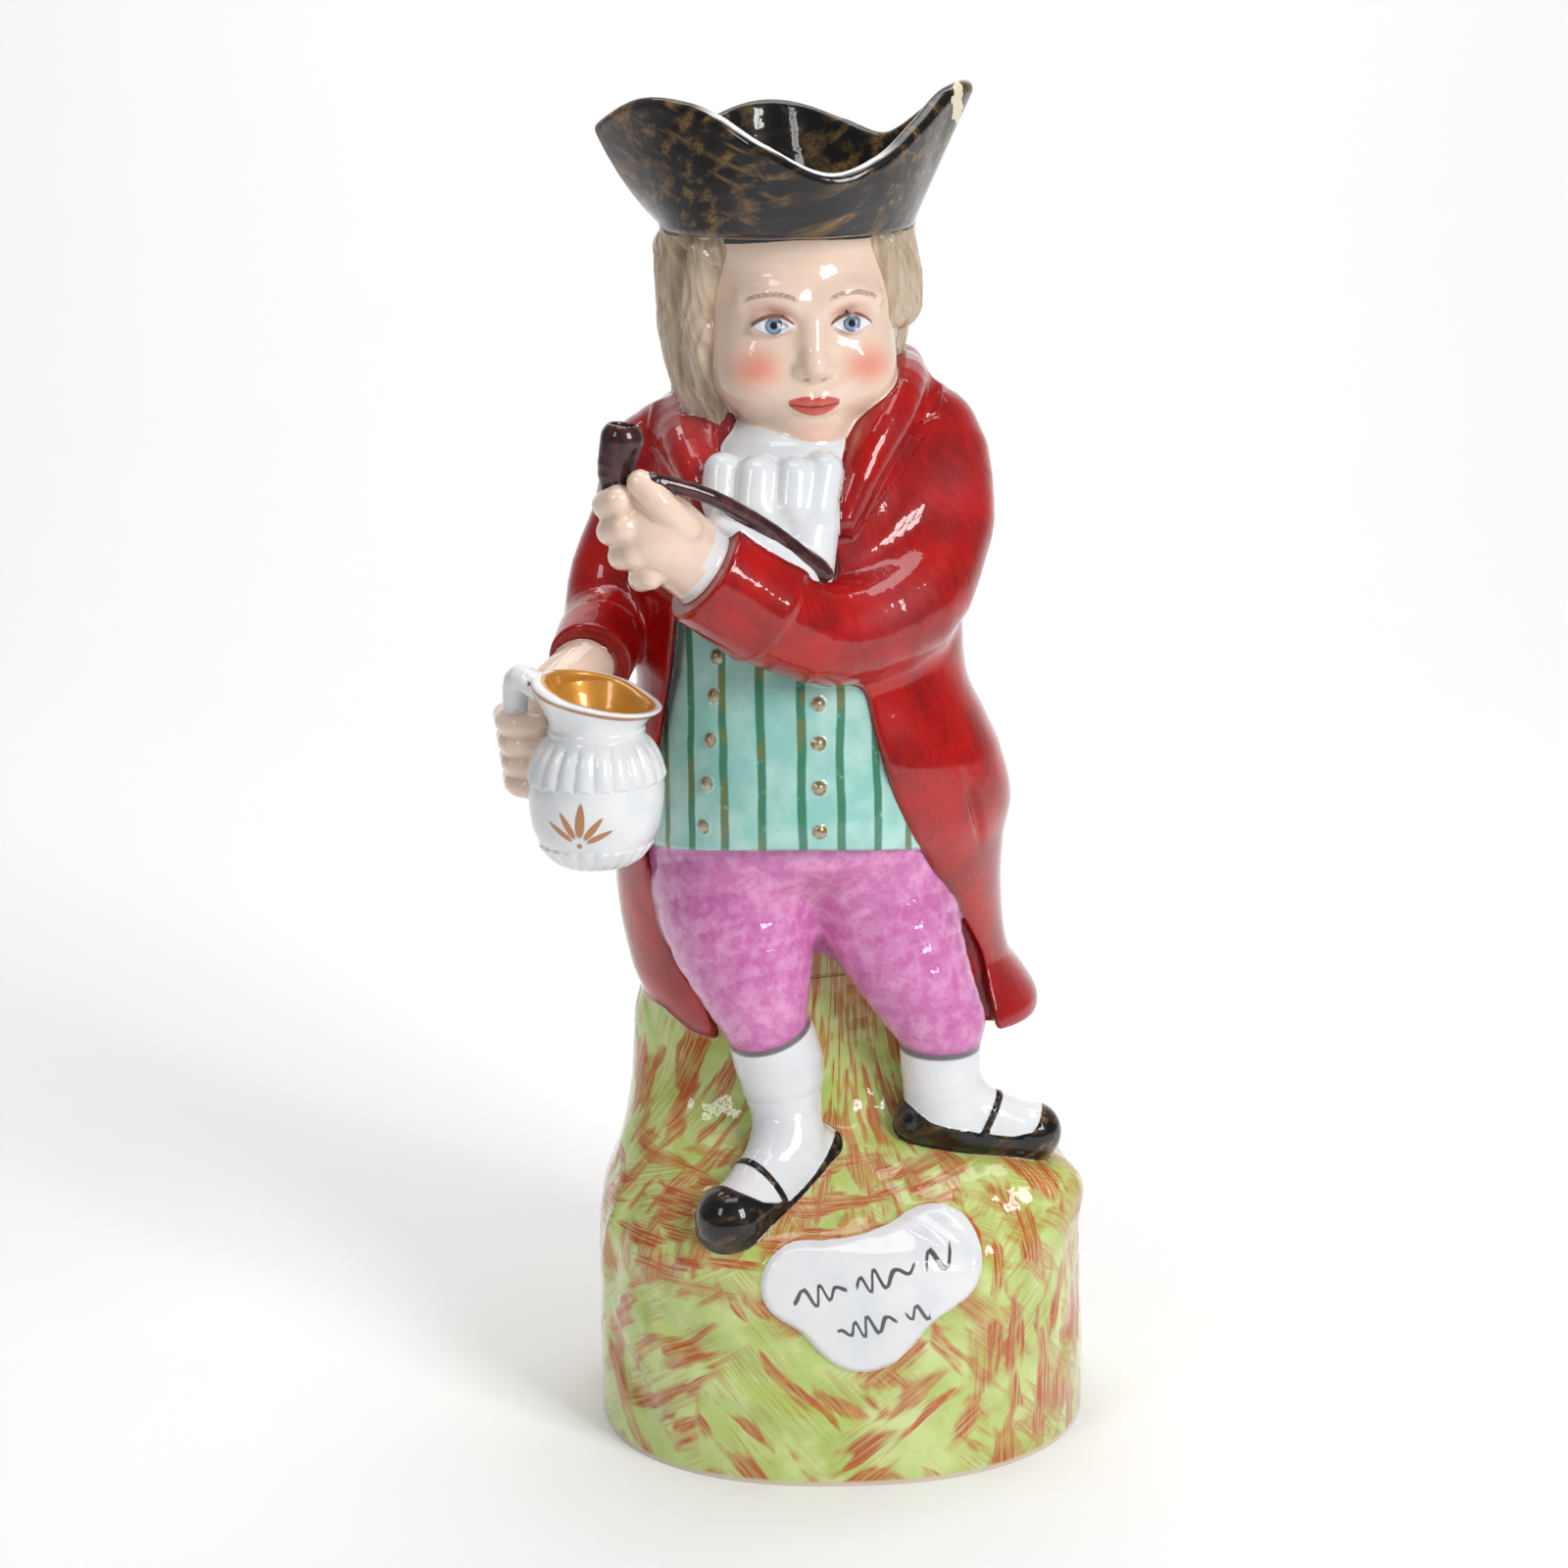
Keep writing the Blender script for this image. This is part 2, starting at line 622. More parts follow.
def buttons(p):
    def domes(q):
        all_domes = [egg(q, b, [BUTTON_RADIUS, BUTTON_RADIUS * 0.8, BUTTON_RADIUS]) for b in BUTTONS]
        return np.minimum.reduce(all_domes)

    return near_only(domes, p, [-30, -38, 137], [0, -24, 178])


def skirt(p):
    d = level(p, COAT_AT, 2, stack(p, COAT_AT, 2.15))
    left, right = OPENING_AT(p[:, 2])
    gap = both(both(left - p[:, 0], p[:, 0] - right, 1), p[:, 1] + 2, 1)
    d = cut(d, gap, 1.6)
    d = cut(d, limb(p, PLEAT), 1.5)
    vent = np.maximum(
        np.abs(p[:, 0] + 6) - 0.8 - 0.06 * np.maximum(0, 140 - p[:, 2]),
        np.maximum(26 - p[:, 1], p[:, 2] - 142),
    )
    return cut(d, vent, 2)


def cuff(p, ends):
    """A rod with its hand end cut off square."""
    a = np.asarray(ends[0], np.float32)
    b = np.asarray(ends[1], np.float32)
    line = b[:3] - a[:3]
    long = np.linalg.norm(line)
    along = (p - a[:3]) @ line / long
    across = np.linalg.norm(p - a[:3] - along[:, None] * line / long, axis=1)
    width = a[3] + (b[3] - a[3]) * along / long
    return both(both(across - width, along - long, 1), -along - 2, 2)


def coat(p):
    d = skirt(p)
    d = with_limbs(d, p, SLEEVES, 4)
    for ends in CUFFS:
        d = join(d, cuff(p, ends), 0.8)
    high = (p[:, 1] < 0) & (p[:, 2] > 196)
    if high.any():
        q = p[high]
        raised = d[high]
        for lapel in LAPELS:
            raised = np.minimum(raised, both(raised - LAPEL_RISE, outline(q[:, 0], q[:, 2], lapel), 1))
        d[high] = raised
    return with_limbs(d, p, COLLAR, 3)


def linen(p):
    d = egg(p, [-8, -8, 214], [19, 19, 11])
    d = with_limbs(d, p, FRILL, 1.4)
    d = with_limbs(d, p, JABOT, 2)
    return join(d, limb(p, SHIRT), 1.5)


def face_places(p):
    """Points in the turned frame of the head."""
    turned = math.radians(FACE["turn"])
    x = p[:, 0] - FACE["x"]
    y = p[:, 1] - FACE["y"]
    return np.column_stack(
        [
            x * math.cos(turned) + y * math.sin(turned),
            y * math.cos(turned) - x * math.sin(turned),
            p[:, 2] - FACE["z"],
        ]
    ).astype(np.float32)


def skin(p):
    q = face_places(p)
    m = mirrored(q)
    d = egg(q, [0, 1, 3], [20.5, 22, 26])
    d = join(d, egg(m, [9.6, -10.2, -7.5], [8.8, 9.2, 9.4]), 5)
    d = join(d, egg(q, [0, -12.6, -12], [8.5, 8, 7.5]), 5)
    d = join(d, egg(q, [0, -14.4, -19], [6.2, 5.8, 4.2]), 4)
    d = join(d, egg(q, [0, -4, -20], [13.5, 13.5, 6]), 4)
    d = cut(d, egg(m, [EYE["out"], -23.4, EYE["up"] + 0.4], [6, 4.2, 3.8]), 3)
    d = join(d, egg(m, [EYE["out"], EYE["front"], EYE["up"] - 0.4], [4.4, 3.7, 3.3]), 0.8)
    d = join(d, limb(m, BROW), 4)
    d = join(d, limb(q, BRIDGE), 3)
    d = join(d, limb(q, TIP), 1.6)
    d = join(d, limb(m, WING), 1.6)
    d = with_limbs(d, m, LIDS, 0.9)
    d = with_limbs(d, m, LIPS, 1.2)
    return both(d, p[:, 2] - 263, 1)


def hands(p):
    d = np.minimum(limb(p, PIPE_HAND[0]), limb(p, CUP_HAND))
    d = join(d, limb(p, PIPE_HAND[1]), 3)
    d = with_limbs(d, p, PIPE_FINGERS, 1)
    fist = with_limbs(limb(p, FINGERS[0]), p, FINGERS[1:], 0.7)
    return join(d, fist, 2)


def hair(p):
    d = egg(p, [-8, 6, 243], [25.5, 21, 27])
    d = both(d, -8 - p[:, 1], 3)
    d = with_limbs(d, p, LOCKS, 2)
    d = join(d, limb(p, QUEUE), 3)
    around = np.arctan2(p[:, 1], p[:, 0] + 8) * 26 + 2.5 * np.sin(p[:, 2] * 0.22)
    d = d + STRAND_DEPTH * np.sin(around * 2.6) * (0.6 + 0.4 * np.sin(around * 0.9 + p[:, 2] * 0.1))
    return both(d, p[:, 2] - 263, 1)


def brim_line(angle):
    reach, high, full = read(EDGE_KEYS, np.array([math.degrees(angle)]))[0, 1:]
    foot = 1 / math.hypot(math.cos(angle) / HAT["width"], math.sin(angle) / HAT["depth"])
    line = []
    for i in range(BRIM_STEPS + 1):
        t = i / BRIM_STEPS
        bend = 2 * t * (1 - t)
        r = (1 - t) ** 2 * foot + bend * (foot + (reach - foot) * full) + t * t * reach
        h = (1 - t) ** 2 * HAT["foot"] + bend * (HAT["foot"] + (high - HAT["foot"]) * 0.42) + t * t * high
        line.append([r, h])
    return line


BRIM_ANGLES = [-math.pi + 2 * math.pi * i / BRIM_LINES for i in range(BRIM_LINES + 1)]
BRIM_TABLE = np.array([brim_line(angle) for angle in BRIM_ANGLES], np.float32)


def brim_place(p):
    """Each point's distance from the middle of the hat, and the brim's line at its angle."""
    x = p[:, 0] - HAT["x"]
    y = p[:, 1] - HAT["y"]
    turn = (np.arctan2(y, x) + math.pi) / (2 * math.pi) * BRIM_LINES
    at = np.minimum(turn.astype(int), BRIM_LINES - 1)
    part = (turn - at)[:, None, None].astype(np.float32)
    return np.hypot(x, y), BRIM_TABLE[at] * (1 - part) + BRIM_TABLE[at + 1] * part


def hat(p):
    r, line = brim_place(p)
    d = np.full(len(p), FAR, np.float32)
    for i in range(BRIM_STEPS):
        r0, z0 = line[:, i].T
        dr, dz = (line[:, i + 1] - line[:, i]).T
        t = np.clip(((r - r0) * dr + (p[:, 2] - z0) * dz) / (dr * dr + dz * dz), 0, 1)
        d = np.minimum(d, np.hypot(r - r0 - dr * t, p[:, 2] - z0 - dz * t))
    return d - BRIM / 2


def pipe(p):
    return np.minimum(limb(p, STEM), cut(limb(p, BOWL), limb(p, BOWL_HOLE), 0.8))


def cup_place(p):
    """Height up the small jug, angle, how far towards the spout, and distance out from its plain side."""
    h = p[:, 2] - CUP["foot"][2]
    x = p[:, 0] - CUP["foot"][0] - h * CUP["lean"][0]
    y = p[:, 1] - CUP["foot"][1] - h * CUP["lean"][1]
    angle = np.arctan2(y, x)
    towards = np.cos(angle - math.radians(CUP["spout"]))
    pour = CUP_POUR * ramp(h, CUP_NECK, CUP_TOP) * np.maximum(0, towards) ** 4
    (radius,) = CUP_AT(h)
    return h, angle, towards, np.hypot(x, y) - radius - pour


def cup(p):
    h, angle, towards, shell = cup_place(p)
    top = CUP_TOP - CUP_TILT * towards
    scallop = 18.2 + 0.7 * np.abs(np.cos(angle * FLUTES / 2))
    fluted = ramp(h, scallop - 0.5, scallop + 0.3) * (1 - ramp(h, 25, 27.5)) + 1 - ramp(h, 4.6, 5.6)
    flute = FLUTE_DEPTH * fluted * (np.abs(np.cos(angle * FLUTES / 2)) - 0.35)
    upper = ramp(h, scallop - 0.4, scallop + 0.2) * (1 - ramp(h, 26, 28))
    flute = flute + BAND_RISE * (upper + 1 - ramp(h, 4.8, 5.4))
    bead = 0.35 * np.exp(-(((h - 28.6) / 0.5) ** 2)) + 0.3 * np.exp(-(((h - top + 0.8) / 0.7) ** 2))
    outer = both(both(shell - flute - bead, -h, 2), h - top, 1)
    inner = both(shell + CUP_WALL, CUP_TOP - CUP_DEPTH - h, 3)
    return cut(outer, inner, 0.8)


def bent_path(points, count):
    """Evenly spaced points on a smooth curve through the given ones."""
    keys = np.asarray(points, float)
    rows = np.column_stack([np.arange(len(keys)), keys])
    dense = read(rows, np.linspace(0, len(keys) - 1, 400))[:, 1:]
    run = np.concatenate([[0], np.cumsum(np.linalg.norm(np.diff(dense, axis=0), axis=1))])
    even = np.linspace(0, run[-1], count)
    return np.column_stack([np.interp(even, run, dense[:, 0]), np.interp(even, run, dense[:, 1])])


HANDLE_LINE = bent_path(HANDLE_PATH, 23)


def handle(p):
    flat = np.column_stack([np.zeros(len(p), np.float32), p[:, 1], p[:, 2]])
    side = np.maximum(np.abs(p[:, 0] - HANDLE_X) - (HANDLE_WIDTH - HANDLE_THICKNESS) / 2, 0)
    d = np.full(len(p), FAR, np.float32)
    for (y0, z0), (y1, z1) in zip(HANDLE_LINE[:-1], HANDLE_LINE[1:]):
        d = np.minimum(d, rod(flat, [0, y0, z0, 0], [0, y1, z1, 0]))
    return np.hypot(side, d) - HANDLE_THICKNESS / 2


def core(p):
    return level(p, CORE_AT, 2, stack(p, CORE_AT, 2.1) + 1.2)


def hollow(p):
    return both(stack(p, CORE_AT, 2.1) + WALL, FLOOR - p[:, 2], 4)


# The parts in the order that they are joined: name, field and the box that holds it
PARTS = [
    ("inside", core, [-54, -50, -6], [54, 50, 262]),
    ("rock", rock, [-56, -54, -8], [56, 54, 114]),
    ("plaque", plaque, [-18, -56, 22], [32, -30, 60]),
    ("breeches", breeches, [-44, -36, 84], [38, 24, 144]),
    ("white", stockings, [-30, -42, 50], [45, 4, 106]),
    ("shoes", shoes, [-34, -48, 46], [50, -8, 78]),
    ("waistcoat", waistcoat, [-42, -37, 132], [26, 29, 214]),
    ("buttons", buttons, [-32, -38, 137], [2, -24, 178]),
    ("coat", coat, [-66, -54, 85], [46, 40, 238]),
    ("linen", linen, [-30, -45, 182], [12, 12, 226]),
    ("skin", skin, [-28, -31, 214], [16, 20, 264]),
    ("skin", hands, [-72, -55, 145], [-18, -16, 222]),
    ("hair", hair, [-38, -14, 209], [21, 34, 264]),
    ("pipe", pipe, [-49, -53, 190], [2, -33, 231]),
    ("cup", cup, [-66, -62, 135], [-30, -26, 178]),
    ("cup", lambda p: limb(p, CUP_HANDLE), [-70, -48, 147], [-54, -34, 180]),
    ("coat", handle, [-14, 14, 155], [0, 59, 257]),
]
HAT_BOX = [[-49, -36, 257], [32, 39, 292]]


def figure(p, groups=None):
    """Distance to the whole figure; with a dictionary, also each colour's own distance."""
    d = None
    for name, field, low, high in PARTS:
        one = near_only(field, p, low, high)
        if groups is not None:
            groups[name] = np.minimum(groups[name], one) if name in groups else one
        d = one if d is None else join(d, one, BLEND)
    near = d < 2
    d[near] = cut(d[near], hollow(p[near]), 1)
    brim = near_only(hat, p, *HAT_BOX)
    if groups is not None:
        groups["hat"] = brim
    return join(d, brim, BLEND)


# Surface of the figure inside one box: a vertex in each cell that it crosses, a quad round each crossed edge.
# The lattice goes in blocks of this many cells, sampled closely where the surface is within CLOSE blocks.
BLOCK = 6
CLOSE = 1.45
CORNERS = [(c & 1, c >> 1 & 1, c >> 2) for c in range(8)]
EDGES = [(a, a | bit) for a in range(8) for bit in (1, 2, 4) if not a & bit]
CHUNK = 400_000


def in_chunks(field, points):
    return np.concatenate([field(points[i:i + CHUNK]) for i in range(0, len(points), CHUNK)])


def sampled(low, high, cell):
    """The figure's distance on a lattice, sampled closely only in blocks near the surface."""
    blocks = np.ceil((np.asarray(high) - low) / cell / BLOCK).astype(int) + 1
    at = np.stack(np.meshgrid(*[np.arange(n) for n in blocks], indexing="ij"), -1).reshape(-1, 3)
    middles = (low + (at * BLOCK + (BLOCK - 1) / 2) * cell).astype(np.float32)
    coarse = in_chunks(figure, middles)
    values = np.repeat(np.repeat(np.repeat(coarse.reshape(blocks), BLOCK, 0), BLOCK, 1), BLOCK, 2)
    near = at[np.abs(coarse) < CLOSE * BLOCK * cell]
    inner = np.stack(np.meshgrid(*[np.arange(BLOCK)] * 3, indexing="ij"), -1).reshape(-1, 3)
    index = (near[:, None] * BLOCK + inner).reshape(-1, 3)
    points = (low + index * cell).astype(np.float32)
    values[index[:, 0], index[:, 1], index[:, 2]] = in_chunks(figure, points)
    return values


def surface_of(low, high, cell):
    low = np.asarray(low, float)
    values = sampled(low, high, cell)
    size = np.array(values.shape)
    inside = values < 0
    window = [inside[a:size[0] - 1 + a, b:size[1] - 1 + b, c:size[2] - 1 + c] for a, b, c in CORNERS]
    count = np.sum(window, axis=0, dtype=np.int8)
    cells = np.argwhere((count > 0) & (count < 8))
    v = [values[cells[:, 0] + a, cells[:, 1] + b, cells[:, 2] + c] for a, b, c in CORNERS]
    total = np.zeros((len(cells), 3))
    crossed = np.zeros(len(cells))
    for a, b in EDGES:
        hit = (v[a] < 0) != (v[b] < 0)
        t = np.where(hit, v[a] / np.where(hit, v[a] - v[b], 1), 0)
        ends = np.array(CORNERS[a]) + t[:, None] * (np.array(CORNERS[b]) - CORNERS[a])
        total += ends * hit[:, None]
        crossed += hit
    points = low + (cells + total / crossed[:, None]) * cell
    number = np.full(size - 1, -1, np.int64)
    number[cells[:, 0], cells[:, 1], cells[:, 2]] = np.arange(len(cells))
    quads = []
    for axis in range(3):
        u, w = (axis + 1) % 3, (axis + 2) % 3
        step = np.eye(3, dtype=int)
        near = inside[1:-1, 1:-1, 1:-1]
        nxt = inside[tuple(slice(1 + s, n - 1 + s) for s, n in zip(step[axis], size))]
        at = np.argwhere(near != nxt) + 1
        at = at[(at < size - 1).all(1)]
        ring = [at - step[u] - step[w], at - step[w], at, at - step[u]]
        quad = np.column_stack([number[r[:, 0], r[:, 1], r[:, 2]] for r in ring])
        outward = inside[at[:, 0], at[:, 1], at[:, 2]]
        quad[~outward] = quad[~outward][:, ::-1]
        quads.append(quad)
    quads = np.concatenate(quads)
    return points.astype(np.float32), quads[(quads >= 0).all(1)]


def slope_of(points, step):
    """The field's slope by central differences."""
    slope = np.empty_like(points)
    for axis in range(3):
        move = np.zeros(3, np.float32)
        move[axis] = step
        slope[:, axis] = (in_chunks(figure, points + move) - in_chunks(figure, points - move)) / (2 * step)
    return slope


def settled(points, rounds=2):
    """Points moved on to the surface along the field's slope."""
    for _ in range(rounds):
        d = in_chunks(figure, points)
        slope = slope_of(points, 0.08)
        square = np.maximum(np.einsum("ij,ij->i", slope, slope), 0.3)
        points = points - slope * (np.clip(d, -0.5, 0.5) / square)[:, None]
    return points


# Colours as seen, 0 to 255
WHITE = (236, 237, 238)
WHITE_SHADE = (224, 228, 232)
CREAM = (238, 236, 226)
CLAY = (214, 202, 182)
BODY = (226, 214, 184)
INK = (30, 26, 30)
RED = (178, 10, 8)
RED_DEEP = (138, 6, 8)
RED_BRIGHT = (206, 34, 22)
RED_POOLED = (84, 4, 8)
TURQUOISE = (150, 208, 198)
TURQUOISE_PALE = (182, 224, 214)
STRIPE = (52, 122, 92)
STRIPE_OLIVE = (104, 118, 58)
PINK = (208, 114, 178)
PINK_PALE = (230, 158, 205)
PINK_DEEP = (186, 84, 156)
PINK_POOLED = (150, 50, 128)
HEM = (62, 34, 56)
LIME = (186, 208, 112)
LIME_PALE = (212, 226, 150)
LIME_SHADE = (140, 150, 80)
LEDGE_SHADE = (132, 134, 74)
EARTH = (176, 128, 70)
RUST = (186, 56, 24)
RUST_THIN = (206, 116, 62)
BLACK = (14, 12, 13)
BROWN_GOLD = (150, 116, 66)
LEATHER_WORN = (150, 112, 72)
HAT_PLUM = (70, 34, 48)
RIM_WHITE = (228, 228, 224)
GOLD = (212, 150, 62)
GILT = (176, 112, 44)
BUTTON_SILVER = (176, 172, 150)
BUTTON_GOLD = (150, 118, 66)
HAIR = (214, 194, 168)
HAIR_DEEP = (170, 146, 120)
HAIR_GREY = (206, 190, 170)
SKIN = (240, 214, 194)
SKIN_WARM = (232, 200, 178)
CREASE = (200, 160, 130)
CHEEK = (232, 128, 104)
EYE_WHITE = (240, 240, 240)
IRIS = (138, 160, 184)
IRIS_RING = (52, 74, 112)
PUPIL = (20, 20, 28)
LID_ROSE = (222, 140, 116)
LASH = (118, 62, 50)
LASH_LOW = (170, 100, 84)
BROW_BROWN = (128, 92, 72)
LIP = (200, 52, 44)
LIP_PARTING = (120, 20, 22)
NOSTRIL = (170, 84, 66)
PIPE_BROWN = (44, 18, 22)
PIPE_WORN = (84, 40, 42)
FIRED = (214, 190, 206)

# Places of the painted ornament: stripes, the hat's chip in x and z, the sprig's leaves as lean, length and
# half width, and the plate's rows of waves as height, half length, pace and start
STRIPE_PITCH = 8.3
CHIP_AT = (27, 286)
SPRIG_TURN = 103
LEAVES = ((4, 7.4, 0.95), (-28, 6.2, 0.7), (38, 6.0, 0.7), (-54, 6.4, 0.62), (64, 5.8, 0.62))
WAVE_ROWS = ((4.0, 17.5, 1.55, 0.4), (-5.2, 10.0, 1.8, 3.1))


def linear(colour):
    """A colour as seen, in the renderer's linear numbers."""
    shares = [c / 255 for c in colour]
    return tuple(c / 12.92 if c <= 0.04 else ((c + 0.055) / 1.055) ** 2.4 for c in shares) + (1,)


class Wire:
    """A shader socket with arithmetic, so that paint can be written as formulas."""

    def __init__(self, tree, socket):
        self.tree = tree
        self.socket = socket

    def math(self, kind, other=None, third=None):
        node = self.tree.nodes.new("ShaderNodeMath")
        node.operation = kind
        for slot, value in zip(node.inputs, (self, other, third)):
            feed(self.tree, slot, value)
        return Wire(self.tree, node.outputs[0])

    def __add__(self, other):
        return self.math("ADD", other)

    def __sub__(self, other):
        return self.math("SUBTRACT", other)

    def __mul__(self, other):
        return self.math("MULTIPLY", other)

    def __truediv__(self, other):
        return self.math("DIVIDE", other)

    def __neg__(self):
        return self.math("MULTIPLY", -1.0)

    __radd__ = __add__
    __rmul__ = __mul__

    def __rsub__(self, other):
        return (-self) + other

    def sine(self):
        return self.math("SINE")

    def cosine(self):
        return self.math("COSINE")

    def size(self):
        return self.math("ABSOLUTE")

    def least(self, other):
        return self.math("MINIMUM", other)

    def most(self, other):
        return self.math("MAXIMUM", other)

    def step(self, low, high):
        """0 below low, 1 above high, smooth between; either way round."""
        node = self.tree.nodes.new("ShaderNodeMapRange")
        node.interpolation_type = "SMOOTHSTEP"
        flip = high < low
        ends = (min(low, high), max(low, high), float(flip), float(not flip))
        for slot, value in zip(node.inputs, (self, *ends)):
            feed(self.tree, slot, value)
        return Wire(self.tree, node.outputs[0])


def feed(tree, slot, value):
    if isinstance(value, Wire):
        tree.links.new(value.socket, slot)
    elif value is not None:
        slot.default_value = value


class Paint:
    """The tools that the paints share in one material: places in millimetres, noise and mixing."""

    def __init__(self, tree):
        self.tree = tree
        place = tree.nodes.new("ShaderNodeTexCoord")
        scale = tree.nodes.new("ShaderNodeVectorMath")
        scale.operation = "SCALE"
        scale.inputs["Scale"].default_value = 1 / MM
        tree.links.new(place.outputs["Object"], scale.inputs[0])
        split = tree.nodes.new("ShaderNodeSeparateXYZ")
        tree.links.new(scale.outputs[0], split.inputs[0])
        self.x, self.y, self.z = [Wire(tree, split.outputs[i]) for i in range(3)]
        self.place = Wire(tree, scale.outputs[0])
        self.known = {}

    def vector(self, x, y, z):
        node = self.tree.nodes.new("ShaderNodeCombineXYZ")
        for slot, value in zip(node.inputs, (x, y, z)):
            feed(self.tree, slot, value)
        return Wire(self.tree, node.outputs[0])

    def turned(self, angles, stretch):
        """Places turned by angles in degrees and then stretched, for strokes that lie one way."""
        node = self.tree.nodes.new("ShaderNodeMapping")
        node.vector_type = "POINT"
        turn = self.tree.nodes.new("ShaderNodeVectorRotate")
        turn.rotation_type = "EULER_XYZ"
        turn.inputs["Rotation"].default_value = [math.radians(a) for a in angles]
        self.tree.links.new(self.place.socket, turn.inputs["Vector"])
        self.tree.links.new(turn.outputs[0], node.inputs["Vector"])
        node.inputs["Scale"].default_value = stretch
        return Wire(self.tree, node.outputs[0])

    def noise(self, size, detail=2, where=None, bend=0.0, rough=0.5):
        """Noise from 0 to 1 whose features are about size millimetres across."""
        key = (size, detail, id(where), bend, rough)
        if key not in self.known:
            node = self.tree.nodes.new("ShaderNodeTexNoise")
            feed(self.tree, node.inputs["Vector"], where or self.place)
            node.inputs["Scale"].default_value = 1 / size
            node.inputs["Detail"].default_value = detail
            node.inputs["Roughness"].default_value = rough
            node.inputs["Distortion"].default_value = bend
            self.known[key] = (Wire(self.tree, node.outputs["Fac"]), where)
        return self.known[key][0]

    def field(self, name):
        """A number kept on the mesh's points."""
        if name not in self.known:
            node = self.tree.nodes.new("ShaderNodeAttribute")
            node.attribute_type = "GEOMETRY"
            node.attribute_name = name
            self.known[name] = Wire(self.tree, node.outputs["Fac"])
        return self.known[name]

    def blend(self, share, low, high):
        """Colour from low to high as share goes from 0 to 1."""
        node = self.tree.nodes.new("ShaderNodeMix")
        node.data_type = "RGBA"
        feed(self.tree, node.inputs["Factor"], share)
        for name, value in (("A", low), ("B", high)):
            slot = [s for s in node.inputs if s.name == name and s.type == "RGBA"][0]
            feed(self.tree, slot, value if isinstance(value, Wire) else linear(value))
        out = [s for s in node.outputs if s.type == "RGBA"][0]
        return Wire(self.tree, out)

    def over(self, colour, *layers):
        """Colours laid over one another in turn, each with its share."""
        for share, rgb in layers:
            colour = self.blend(share, colour, rgb)
        return colour


class Coat:
    """What one paint gives: its colour, its relief in millimetres, and how much is gilding."""

    def __init__(self, colour, relief=0.0, gilt=0.0):
        self.colour = colour
        self.relief = relief
        self.gilt = gilt


def spot(u, v, half_u, half_v):
    """How far out from a spot's middle: 1 on its edge."""
    return ((u / half_u).math("POWER", 2.0) + (v / half_v).math("POWER", 2.0)).math("SQRT")


def white_ware(n):
    return n.blend(n.noise(14).step(0.35, 0.75), WHITE, WHITE_SHADE)


def paint_linen(n):
    return Coat(white_ware(n))


def paint_coat(n):
    wash = n.noise(11, 3).step(0.3, 0.7)
    brushed = n.noise(1.0, 2, n.turned((12, 20, 0), (0.9, 0.9, 0.12))).step(0.35, 0.8)
    pooled = n.field("m_coat").step(1.6, 0.1)
    colour = n.blend(wash, RED_DEEP, RED)
    return Coat(n.over(colour, (brushed * 0.3, RED_BRIGHT), (pooled * 0.45, RED_POOLED)))


def paint_waistcoat(n):
    wash = n.noise(7, 3).step(0.35, 0.7)
    colour = n.blend(wash, TURQUOISE, TURQUOISE_PALE)
    around = ((n.x + 8) / 33).least(0.999).most(-0.999).math("ARCSINE") * 33 + n.noise(16) * 1.6
    turn = (around - 1.7) / STRIPE_PITCH
    off = (turn - turn.math("ROUND")).size() * STRIPE_PITCH
    stripe = off.step(1.15, 0.7) * n.noise(3, 2).step(0.15, 0.4)
    olive = n.noise(11, 1, bend=0.4).step(0.53, 0.6)
    return Coat(n.blend(stripe * 0.92, colour, n.blend(olive, STRIPE, STRIPE_OLIVE)))


def paint_breeches(n):
    cloud = n.noise(3.2, 4, rough=0.65).step(0.36, 0.68)
    deep = n.noise(15, 2).step(0.45, 0.8)
    pooled = n.field("m_breeches").step(1.2, 0.1)
    colour = n.blend(cloud, PINK, PINK_PALE)
    return Coat(n.over(colour, (deep * 0.45, PINK_DEEP), (pooled * 0.35, PINK_POOLED)))


def brushed(n, turn, across, level, where=0.0):
    """Brush marks at an angle on the rock's wall, broken into bristle lines, and the bristles."""
    turn = math.radians(turn)
    around = n.x.math("ARCTAN2", -n.y) * 50
    down = n.z - (n.x * n.x + n.y * n.y).math("SQRT") * 0.7
    along = around * math.cos(turn) + down * math.sin(turn)
    aside = down * math.cos(turn) - around * math.sin(turn)
    dab = n.noise(across, 2, n.vector(along * 0.34, aside, where), 0.3).step(level - 0.03, level + 0.06)
    hairs = n.noise(0.62, 2, n.vector(along * 0.045, aside, where)).step(0.36, 0.6)
    return dab * (hairs * 0.62 + 0.38), hairs


def strokes(n, size, angles, level, soft=0.12):
    """Brush marks that lie one way: long noise cut at a level, broken by fine bristle lines."""
    dab = n.noise(size, 2, n.turned(angles, (0.16, 1.0, 1.0))).step(level - soft, level + soft)
    bristle = n.noise(size * 0.17, 3, n.turned(angles, (0.07, 1.0, 1.0))).step(0.3, 0.62)
    return dab * (bristle * 0.75 + 0.25)


